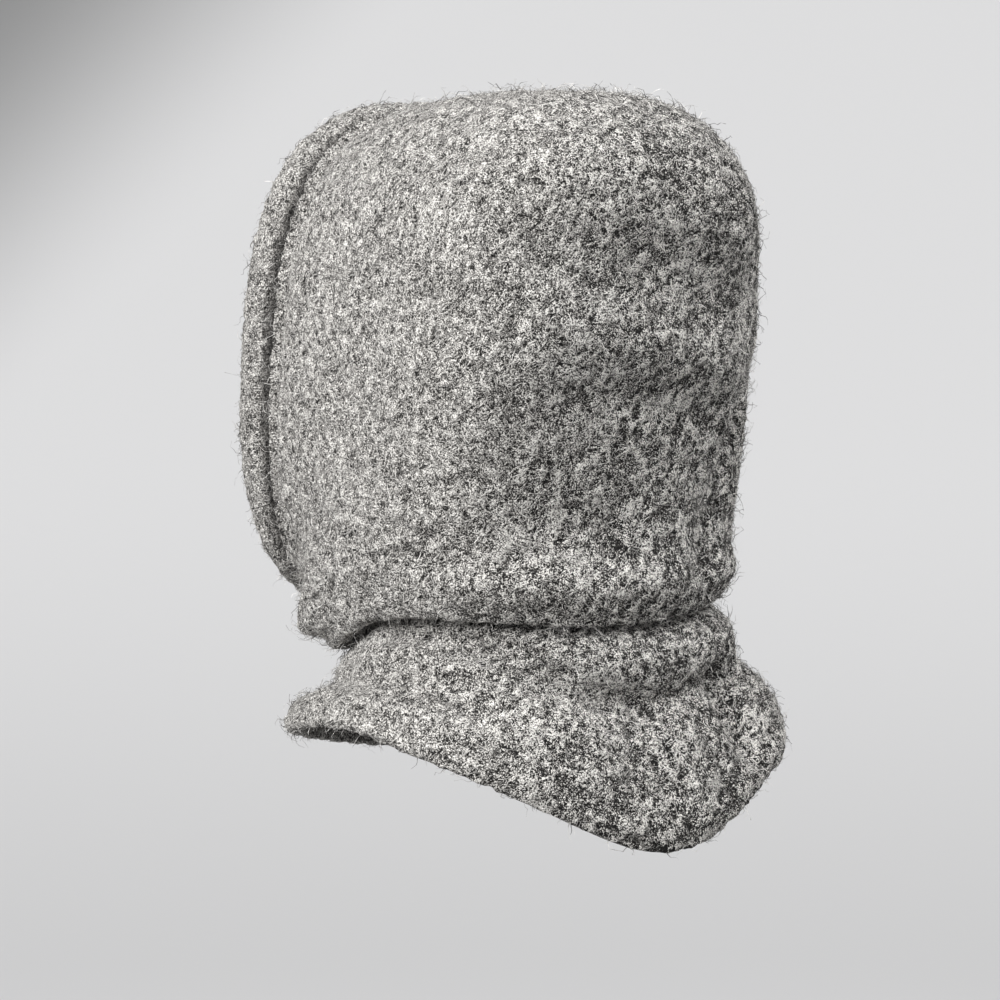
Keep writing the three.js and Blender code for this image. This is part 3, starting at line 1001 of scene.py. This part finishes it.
@dataclass(frozen=True)
class MelangeKnit(Look):
    """The brushed grey knit: dark pits between curly light strands, and a salt-and-pepper grain. Sizes are in mm."""

    dark: tuple[float, float, float] = (0.014, 0.0135, 0.013)
    deep: tuple[float, float, float] = (0.085, 0.081, 0.076)
    middle: tuple[float, float, float] = (0.3, 0.289, 0.273)
    light: tuple[float, float, float] = (0.79, 0.77, 0.735)
    swirl: float = 8.0
    strand_size: float = 3.8
    wisp_size: float = 2.1
    pit_size: float = 4.2
    tuft_size: float = 5.0
    grain_size: float = 0.75
    grain: float = 2.6
    pit_share: float = 0.28
    low_relief_shade_share: float = 0.16
    even_detail: float = 0.28
    even_tone: float = 0.45
    painted_grazing_contrast: float = 1.45
    groove_painted_shade: float = 0.85
    bump_height: float = 0.9

    def surface(self, nodes: NodeMaker) -> Socket:
        """The knit: lines of noise for strands and wisps, a fine grain, and pits between them.

        Args:
            nodes: the maker of the material's nodes.

        Returns:
            The shader.
        """
        place = nodes.add("ShaderNodeTexCoord").out("Object")
        swirl = nodes.vector("SCALE", nodes.wander(place, self.swirl * MM), scale=self.swirl * MM)
        warped = nodes.vector("ADD", place, swirl)
        strands = self._lines(nodes, warped, self.strand_size, 7.0, (0.0, 0.0, 0.0))
        strands = strands.math("MAXIMUM", self._lines(nodes, warped, self.strand_size * 0.8, 7.0, (0.31, 0.17, 0.53)))
        wisps = self._lines(nodes, warped, self.wisp_size, 8.0, (0.71, 0.43, 0.11))
        wisps = wisps.math("MAXIMUM", self._lines(nodes, place, self.wisp_size, 8.0, (0.13, 0.87, 0.29)))
        pits = nodes.noise(warped, self.pit_size * MM, 1.0).ramp(0.52, 0.36)
        grain = nodes.noise(place, self.grain_size * MM, 1.0, 0.7)
        tufts = nodes.noise(place, self.tuft_size * MM, 1.0) - 0.5
        # Painted shade: the knit is darker where the relief is low.
        low_relief_shade = nodes.attribute("pile").ramp(0.62, 0.28)
        painted_shade_side = nodes.painted_shade_side(place)
        detail = strands * 0.4 + wisps * 0.3 + (grain - 0.5) * self.grain + tufts * 0.3
        # Painted shade on the low places of the relief, stronger towards the side away from the lamps.
        detail = detail - low_relief_shade * (self.low_relief_shade_share + painted_shade_side * 0.2) - pits * self.pit_share * (1 - strands * 0.6)
        # Painted grazing light: the knit's contrast grows towards the side away from the lamps.
        contrast = 1.0 + painted_shade_side * self.painted_grazing_contrast
        # Painted shade: the knit is a little darker towards the side away from the lamps.
        tone = self.even_tone - painted_shade_side * 0.05 + (detail - self.even_detail) * contrast
        # Painted shade in the groove behind the band, from the attribute shade.
        tone = tone * (1 - nodes.attribute("shade") * self.groove_painted_shade)
        stops = [(0.0, self.dark), (0.25, self.deep), (0.55, self.middle), (1.0, self.light)]
        height = strands * 0.6 + wisps * 0.25 + grain * 0.35 + tufts - pits * 0.8
        return nodes.add("ShaderNodeBsdfPrincipled", None, {
            "Base Color": nodes.add("ShaderNodeValToRGB", {"stops": stops}, {"Fac": tone}).out("Color"),
            "Normal": nodes.add("ShaderNodeBump", None, {"Distance": self.bump_height * MM, "Height": height}).out(),
            "Roughness": 0.95, "Specular IOR Level": 0.1, "Sheen Weight": 0.05,
        }).out()

    @staticmethod
    def _lines(nodes: NodeMaker, place: Socket, size: float, thin: float, shift: tuple[float, ...]) -> Socket:
        """Wandering lines along the middle level of a moved noise: 1 on a line and 0 beside it."""
        noise = nodes.noise(nodes.vector("ADD", place, shift), size * MM, 1.0)
        return (1 - (noise - 0.5).math("ABSOLUTE") * thin).math("MAXIMUM", 0.0)


@dataclass(frozen=True)
class FibreYarn(Look):
    """Single fibres, each from dark grey to nearly white, and darker at their foot."""

    dark: tuple[float, float, float] = (0.035, 0.033, 0.031)
    light: tuple[float, float, float] = (0.97, 0.945, 0.91)
    foot: float = 0.3

    def surface(self, nodes: NodeMaker) -> Socket:
        """The fibres, by their own tone and their height.

        Args:
            nodes: the maker of the material's nodes.

        Returns:
            The shader.
        """
        risen = self.foot + nodes.attribute("along").ramp(0.0, 0.5) * (1 - self.foot)
        return nodes.add("ShaderNodeBsdfPrincipled", None, {
            "Base Color": nodes.mix(nodes.attribute("tone") * risen, self.dark, self.light),
            "Roughness": 0.9, "Specular IOR Level": 0.15, "Sheen Weight": 0.05,
        }).out()


class Finish(Enum):
    """The finishes of the garment, by their materials' names."""

    KNIT = "snood_melange_knit"
    PILE = "snood_melange_fibres"


@dataclass
class Wardrobe:
    """Makes each finish once."""

    made: dict[Finish, bpy.types.Material] = field(default_factory=dict)

    def get(self, finish: Finish) -> bpy.types.Material:
        """The material of a finish.

        Args:
            finish: the finish.

        Returns:
            The material.
        """
        if finish not in self.made:
            makers = {Finish.KNIT: MelangeKnit(), Finish.PILE: FibreYarn()}
            self.made[finish] = makers[finish].material(finish.value)
        return self.made[finish]


@dataclass(frozen=True)
class Paper(Look):
    """The backdrop: pale grey paper with a glowing patch of painted light that is fixed on it, behind the part.

    The patch lies where a look from the point eye, straight ahead over the part, meets the paper. It is darker
    towards the upper left, as painted shade, and less bright towards the bottom. half_view is the length that it is
    measured in, at a distance of 1 from eye.
    """

    eye: Vector
    right: Vector
    up: Vector
    ahead: Vector
    half_view: float
    colour: tuple[float, float, float] = (0.3, 0.3, 0.3)
    glow: float = 0.53
    corner: float = 0.85
    foot: float = 0.2

    def surface(self, nodes: NodeMaker) -> Socket:
        """The paper with its fixed, glowing patch of painted light.

        Args:
            nodes: the maker of the material's nodes.

        Returns:
            The shader.
        """
        look = nodes.vector("SUBTRACT", nodes.add("ShaderNodeTexCoord").out("Object"), tuple(self.eye))
        depth = nodes.vector("DOT_PRODUCT", look, tuple(self.ahead)).math("MAXIMUM", 0.01)
        across = nodes.vector("DOT_PRODUCT", look, tuple(self.right)) / depth / self.half_view
        over = nodes.vector("DOT_PRODUCT", look, tuple(self.up)) / depth / self.half_view
        away = (across * across + over * over).math("SQRT")
        # Painted light: the patch glows by emission, fading out at its edges.
        tone = away.ramp(2.6, 1.5) * depth.ramp(2.2, 3.0) * self.glow
        # Painted shade towards the upper left, and less glow towards the bottom.
        tone = tone * (1 - (over - across).ramp(1.15, 2.1) * self.corner) * (1 - over.ramp(0.1, -1.0) * self.foot)
        return nodes.add("ShaderNodeBsdfPrincipled", None, {
            "Base Color": (*self.colour, 1.0), "Roughness": 0.9, "Specular IOR Level": 0.1,
            "Emission Color": nodes.mix(tone, (0.0, 0.0, 0.0), (1.0, 1.0, 1.01)), "Emission Strength": 1.0,
        }).out()


# The pieces


@dataclass(frozen=True)
class PileLayer:
    """One layer of fibres on a piece: how many a square metre, and the share of them inside."""

    name: str
    fibre: Fibre
    density: float
    inside: float
    seed: int


CURLS = Fibre(length=9, radius=0.2, steps=5, bend=5, curl=5, curl_size=4, lean=1.45)
FUZZ = Fibre(length=4.5, radius=0.15, steps=2, bend=2.2, curl=2.2, curl_size=2.6, lean=1.3)


@dataclass
class KnitPiece:
    """A piece of the garment that stands for one node: its wall, its relief, moved on by shift, and its pile.

    The layers of the pile are laid on in their order.
    """

    shape: WornShape
    wardrobe: Wardrobe
    relief: Tree
    node: str = ""
    shift: float = 0.0
    layers: tuple[PileLayer, ...] = ()

    def build_mesh(self) -> bpy.types.Mesh:
        """The plain wall; each piece has its own."""
        raise NotImplementedError

    def dress(self) -> list[bpy.types.Object]:
        """Builds the wall with its relief and the pile on it, and tells the frame about them.

        Returns:
            The objects.
        """
        mesh = self.build_mesh()
        plain = shown(mesh.name, mesh)
        wall = self.relief.run(plain, self.node + "_knit", {"Strength": 1.0, "Shift": self.shift})
        bpy.data.objects.remove(plain)
        wall.data.materials.append(self.wardrobe.get(Finish.KNIT))
        made = [wall]
        for layer in self.layers:
            name = f"{self.node}_{layer.name}"
            tree = layer.fibre.tree(name + "_tree", self.wardrobe.get(Finish.PILE))
            values = {"Density": layer.density, "Inside": layer.inside, "Seed": layer.seed}
            made.append(tree.run(wall, name, values))
        for piece in made:
            piece.data.polygons.foreach_set("use_smooth", [True] * len(piece.data.polygons))
            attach(piece, "root")
            LOG.info("%s: %d faces", piece.name, len(piece.data.polygons))
        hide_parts(self.node)
        return made


@dataclass
class Hood(KnitPiece):
    """The hood, from the rolled foot over the seam to the fluffy lip at the face.

    The folds fade in over fold_rows rows of the surface, from its first row on.
    """

    roll: float = 14
    fold_depth: float = 6
    fold_reach: float = 20
    fold_rows: float = 2.5
    lip_length: float = 7
    lip_raise: float = 5
    steps: int = 160
    inner_steps: int = 66
    node: str = "hood"
    layers: tuple[PileLayer, ...] = (
        PileLayer("curls_1", CURLS, 20000, 0.2, 1),
        PileLayer("curls_2", CURLS, 20000, 0.2, 3),
        PileLayer("fuzz", FUZZ, 36000, 0.2, 2),
    )

    def surface(self) -> Surface:
        """The outside from the seam to the rim.

        Returns:
            The surface, without its folds.
        """
        seam, outward = self.shape.seam(), self.shape.outward()
        rows = []
        for row in ROLL_ROWS:
            drop = self.roll * (row.drop + row.jaw * self.shape.jaw_share())
            rows.append(seam + outward * (row.out * self.roll) - np.stack([0 * drop, 0 * drop, drop], -1))
        reach, half = self.shape.hood_reach, self.shape.hood_width / 2
        rows.extend(self.shape.turned_loop(row, reach, half) for row in HOOD_LOOPS)
        for step, share in zip(range(-len(RIM_SHARES), 0), RIM_SHARES):
            setback = share * self.shape.band_extra(rows[step])
            rows[step] = rows[step] - setback[:, None] * self.forward()
        return Surface(rows)

    def forward(self) -> np.ndarray:
        """The way out of the face opening."""
        slope = math.radians(HOOD_LOOPS[-1].turn)
        return np.array([0, -math.sin(slope), math.cos(slope)])

    def folded(self, steps: int) -> np.ndarray:
        """The outside with its folds and the lip ahead of the rim.

        Args:
            steps: how many steps from seam to rim.

        Returns:
            The loops.
        """
        surface = self.surface()
        places = surface.even(0, steps)
        smooth = surface.at(places)
        lip = [smooth[-1] + self.forward() * (row.ahead * self.lip_length) for row in LIP_ROWS]
        grid = np.concatenate([smooth, np.array(lip)])
        eased = np.concatenate([np.clip((places - 1) / self.fold_rows, 0, 1), np.ones(len(lip))])
        sizes = (self.fold_depth, self.fold_reach)
        return folded(grid, grid_normals(grid, -1), surface, HOOD_FOLDS, sizes, eased)

    def build_mesh(self) -> bpy.types.Mesh:
        """The wall of the hood.

        Returns:
            The mesh.
        """
        grid = self.folded(self.steps)
        normals = evened(grid_normals(grid, -1), 6)
        outer, shade = grid.copy(), np.zeros(len(grid))
        # The lip's last rows get the painted shade of the groove.
        for index, row in zip(range(-len(LIP_ROWS), 0), LIP_ROWS):
            outer[index] += normals[index] * (row.rise * self.lip_raise)
            shade[index] = row.shade
        coarse = self.folded(self.inner_steps)[:, ::2]
        inner = coarse - evened(grid_normals(coarse, -1), 12) * self.shape.knit_wall
        return shell_mesh(self.node + "_plain", self.shape.seated(outer), self.shape.seated(inner), shade, True)

    def rim(self) -> tuple[np.ndarray, np.ndarray]:
        """The rim that the band is sewn to.

        Returns:
            The last loop before the band and its outward directions.
        """
        grid = self.folded(self.inner_steps)
        normals = evened(grid_normals(grid, -1), 12)[-1]
        ahead = self.forward()
        normals = normals - (normals @ ahead)[:, None] * ahead
        return grid[-1], normals / np.linalg.norm(normals, axis=1, keepdims=True)


@dataclass
class FaceBand(KnitPiece):
    """The doubled band round the face, ahead of the hood's lip."""

    hood: Hood | None = None
    thickness: float = 12
    groove_end: float = 0.2
    groove_fade: float = 0.16
    inner_face: float = -0.43
    section_steps: int = 30
    node: str = "face_band"
    layers: tuple[PileLayer, ...] = (
        PileLayer("curls", CURLS, 40000, 0.0, 4),
        PileLayer("fuzz", FUZZ, 46000, 0.0, 5),
    )

    def section(self) -> np.ndarray:
        """The rounded section.

        Returns:
            Its points, as shares forward and outward.
        """
        corners = np.array(BAND_SECTION)
        closed = np.concatenate([corners, corners[:3]])[:, None, :]
        track = Surface(closed)
        places = np.linspace(1, 1 + len(corners), self.section_steps, endpoint=False)
        return track.at(places)[:, 0]

    def build_mesh(self) -> bpy.types.Mesh:
        """The wall of the band.

        Returns:
            The mesh.
        """
        rim, outward = self.hood.rim()
        ahead = self.hood.forward()
        width = (self.shape.band_chin + self.shape.band_extra(rim))[:, None]
        section = self.section()
        # The back of the band, in the groove, gets painted shade and less pile.
        ahead_of_groove = np.clip((section[:, 0] - self.groove_end) / self.groove_fade, 0, 1)
        shade = (1 - ahead_of_groove) * (section[:, 1] > self.inner_face)
        loops = []
        for forward, out in section:
            away = outward * (out * self.thickness - self.shape.knit_wall / 2)
            loops.append(rim + away + ahead * (self.shape.joint_gap + forward * width))
        return ring_mesh(self.node + "_plain", self.shape.seated(np.array(loops)), shade, True)


@dataclass
class NeckSnood(KnitPiece):
    """The snood, from the seam under the hood's roll to the flared hem.

    Of the parts that the way along it is counted in, the folds fade in over the second and third, and the bead of
    the hem takes the last two.
    """

    drop: float = 130
    flare: float = 50
    hem_bead: float = 1.2
    fold_depth: float = 7
    fold_reach: float = 10
    parts: int = 15
    steps: int = 80
    inner_steps: int = 30
    node: str = "neck_snood"
    layers: tuple[PileLayer, ...] = (
        PileLayer("curls", CURLS, 45000, 0.2, 6),
        PileLayer("fuzz", FUZZ, 46000, 0.2, 7),
    )

    def surface(self) -> Surface:
        """The outside from the seam to the hem.

        Returns:
            The surface, without its folds.
        """
        shape = self.shape
        seam, outward = shape.seam(), shape.outward()
        rows = []
        for row in SNOOD_ROWS:
            out = shape.knit_wall + self.flare * shape.three_way(row.out_back, row.out_side, row.out_front)
            lost = (1 - row.lift) * shape.seam_lift * shape.lift_share()
            down = self.drop * shape.three_way(row.down_back, row.down_side, row.down_front)
            loop = seam + outward * out[:, None]
            loop[:, 0] -= row.lean * self.flare
            loop[:, 2] -= shape.joint_gap + lost + down
            rows.append(loop)
        return Surface(rows)

    def folded(self, steps: int) -> tuple[np.ndarray, np.ndarray]:
        """The outside with its folds, and how far along it each loop is.

        Args:
            steps: how many steps from seam to hem.

        Returns:
            The loops and their shares of the way.
        """
        surface = self.surface()
        grid = surface.at(surface.even(0, steps))
        along = np.linspace(0, 1, steps + 1)
        eased = np.clip((self.parts * along - 1) / 2, 0, 1)
        sizes = (self.fold_depth, self.fold_reach)
        return folded(grid, grid_normals(grid, 1), surface, SNOOD_FOLDS, sizes, eased), along

    def build_mesh(self) -> bpy.types.Mesh:
        """The wall of the snood.

        Returns:
            The mesh.
        """
        grid, along = self.folded(self.steps)
        bead = self.hem_bead * np.sin(np.pi * np.clip((self.parts * along - self.parts + 2) / 2, 0, 1))
        outer = grid + grid_normals(grid, 1) * bead[:, None, None]
        coarse = self.folded(self.inner_steps)[0][:, ::2]
        inner = coarse - evened(grid_normals(coarse, 1), 6) * self.shape.knit_wall
        shade = np.zeros(len(outer))
        return shell_mesh(self.node + "_plain", self.shape.seated(outer), self.shape.seated(inner), shade, False)


# The studio


@dataclass(frozen=True)
class Lamp:
    """One soft light: where it stands as azimuth, elevation and distance, its size and its power."""

    name: str
    azimuth: float
    elevation: float
    distance: float
    size: float
    power: float


@dataclass
class Studio:
    """A pale bowl round the part, soft lights, and the camera of the photograph."""

    azimuth: float = 144.0
    elevation: float = 5.0
    distance: float = 1.8
    lens: float = 118.58
    film: float = 36.0
    target: tuple[float, float, float] = (0.0, -0.02, -0.216554)
    aside: float = 0.01093
    floor: float = -1.1
    radius: float = 4.2
    bend: float = 1.4
    bend_steps: int = 12
    columns: int = 96
    wall: float = 3.4
    air: float = 0.17
    lamps: tuple[Lamp, ...] = (
        Lamp("window", 70, 28, 2.6, 1.4, 51),
        Lamp("door", 112, 28, 2.6, 1.4, 69),
        Lamp("top", 230, 52, 2.6, 1.2, 51),
        Lamp("fill", 190, 10, 3.0, 2.0, 18),
    )

    @staticmethod
    def towards(azimuth: float, elevation: float) -> Vector:
        """The direction from the part to where a view from an azimuth and an elevation stands."""
        turn, rise = math.radians(azimuth), math.radians(elevation)
        return Vector((math.sin(turn) * math.cos(rise), -math.cos(turn) * math.cos(rise), math.sin(rise)))

    def right(self) -> Vector:
        """The direction that is to the right in the photograph."""
        turn = math.radians(self.azimuth)
        return Vector((math.cos(turn), math.sin(turn), 0))

    def eye(self) -> Vector:
        """Where the camera stands."""
        away = self.towards(self.azimuth, self.elevation)
        return Vector(self.target) - self.right() * self.aside + away * self.distance

    def make_camera(self) -> bpy.types.Object:
        """The camera of the photograph.

        Returns:
            The camera.
        """
        data = bpy.data.cameras.new("camera")
        data.lens = self.lens
        data.sensor_width = self.film
        camera = shown("camera", data)
        camera.location = self.eye()
        ahead = -self.towards(self.azimuth, self.elevation)
        camera.rotation_euler = ahead.to_track_quat("-Z", "Y").to_euler()
        bpy.context.scene.camera = camera
        return camera

    def make_backdrop(self) -> bpy.types.Object:
        """A round floor that bends up into a wall, open at the top.

        Returns:
            The backdrop.
        """
        profile = [(0.4 * self.radius, 0.0)]
        for step in range(self.bend_steps + 1):
            angle = math.radians(90 * step / self.bend_steps)
            profile.append((self.radius - self.bend + self.bend * math.sin(angle), self.bend * (1 - math.cos(angle))))
        profile.append((self.radius, self.wall))
        turns = [2 * math.pi * column / self.columns for column in range(self.columns)]
        points = [(0.0, 0.0, self.floor)]
        for away, height in profile:
            points.extend((away * math.cos(turn), away * math.sin(turn), self.floor + height) for turn in turns)
        index = 1 + np.arange(len(points) - 1).reshape(len(profile), self.columns)
        after = np.roll(index, -1, 1)
        faces = [(0, int(near), int(far)) for near, far in zip(index[0], after[0])]
        faces.extend(np.stack([index[:-1], index[1:], after[1:], after[:-1]], -1).reshape(-1, 4).tolist())
        mesh = smooth_mesh("studio_bowl", points, faces)
        ahead = -self.towards(self.azimuth, self.elevation)
        paper = Paper(self.eye(), self.right(), self.right().cross(ahead), ahead, self.film / 2 / self.lens)
        mesh.materials.append(paper.material("studio_paper"))
        bowl = shown(mesh.name, mesh)
        bowl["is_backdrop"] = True
        return bowl

    def make_lights(self) -> None:
        """The lamps and the pale world."""
        middle = Vector(self.target)
        for lamp in self.lamps:
            data = bpy.data.lights.new(lamp.name, "AREA")
            data.shape = "DISK"
            data.size = lamp.size
            data.energy = lamp.power
            light = shown(lamp.name, data)
            away = self.towards(lamp.azimuth, lamp.elevation)
            light.location = middle + away * lamp.distance
            light.rotation_euler = (-away).to_track_quat("-Z", "Y").to_euler()
        world = bpy.data.worlds.new("studio")
        world.use_nodes = True
        background = world.node_tree.nodes["Background"]
        background.inputs["Color"].default_value = (1.0, 1.0, 1.0, 1.0)
        background.inputs["Strength"].default_value = self.air
        bpy.context.scene.world = world


def plain(corners: Any) -> list[list[float]]:
    """Two corners as plain lists of numbers."""
    return [[float(value) for value in corner] for corner in corners]


def main() -> None:
    """Builds the studio and the garment."""
    logging.basicConfig(level=logging.INFO, format="%(name)s: %(message)s")
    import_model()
    cad_box = plain(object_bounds())
    bpy.context.scene.view_settings.view_transform = "Standard"
    wardrobe = Wardrobe()
    studio = Studio()
    studio.make_camera()
    studio.make_backdrop()
    studio.make_lights()
    shape = WornShape()
    relief = Relief().tree()
    hood = Hood(shape, wardrobe, relief)
    hood.dress()
    FaceBand(shape, wardrobe, relief, shift=0.7, hood=hood).dress()
    NeckSnood(shape, wardrobe, relief, shift=1.3).dress()
    {"cad": cad_box, "visual": plain(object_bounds())}


if __name__ == "__main__":
    main()
